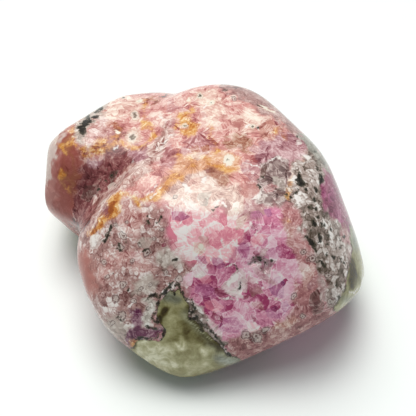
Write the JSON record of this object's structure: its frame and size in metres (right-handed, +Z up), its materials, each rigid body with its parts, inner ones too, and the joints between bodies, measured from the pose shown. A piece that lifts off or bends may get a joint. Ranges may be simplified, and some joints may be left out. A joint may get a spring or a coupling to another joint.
{
  "type": "polished cobaltoan calcite stone",
  "caption": "Palm-sized polished freeform of pink crystalline stone: a large lobe with a sloping front, a smaller lobe grown onto its back left shoulder, a groove between them and a flat foot.",
  "frame": {"origin": "centre of the bounding box, on the plane of the flat foot that the stone rests on", "axes": "+X along the longest extent, to the right as the sloping front is seen; -Y towards the sloping front; +Z up, along the shortest extent"},
  "size_m": [0.0862, 0.0814, 0.0452],
  "materials": {
    "rose_calcite": "high polish over interlocking pink crystals, with orange, white, olive and black inclusions"
  },
  "bodies": {
    "root": {"stone": "rose_calcite"}
  },
  "joints": []
}
